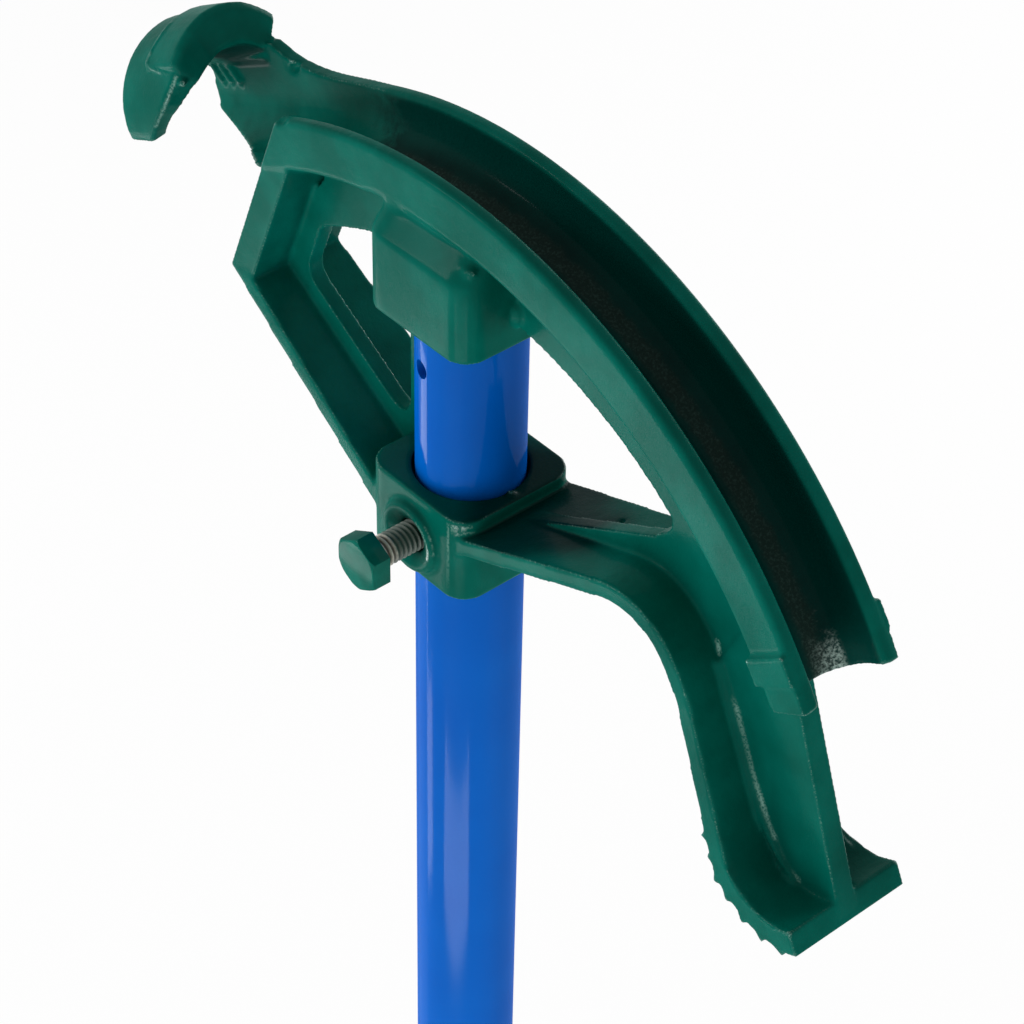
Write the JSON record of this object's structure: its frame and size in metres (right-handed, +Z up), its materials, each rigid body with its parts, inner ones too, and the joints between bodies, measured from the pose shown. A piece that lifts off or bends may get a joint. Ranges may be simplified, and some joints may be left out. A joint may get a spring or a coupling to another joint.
{
  "type": "conduit bender",
  "caption": "Hand conduit bender: cast grooved shoe with hook, window web and foot pedal, clamped by a set screw on a long straight tube handle.",
  "frame": {"origin": "centre of the capped lower end of the handle, which is the mount handle_end", "axes": "+Z runs up the handle to the head; +X points to the foot pedal; -Y is the side that the set screw enters"},
  "size_m": [0.2529, 0.0533, 1.0235],
  "materials": {
    "green_enamel": "glossy green enamel over a sand-cast surface",
    "blue_enamel": "glossy blue enamel on smooth pipe",
    "zinc_plate": "bare zinc-plated thread under a green painted hexagon head",
    "black_vinyl": "matte black vinyl"
  },
  "bodies": {
    "handle": {"handle_tube": "blue_enamel", "end_cap": "black_vinyl"},
    "head": {"bender_head": "green_enamel"},
    "clamp_screw": {"set_screw": "zinc_plate"}
  },
  "joints": [
    {"name": "head_slide", "type": "slide", "parent": "handle", "child": "head", "axis": [0, 0, 1], "range_m": [0, 0.088]},
    {"name": "screw_slide", "type": "slide", "parent": "head", "child": "clamp_screw", "axis": [0, -1, 0], "range_m": [0, 0.006]}
  ]
}
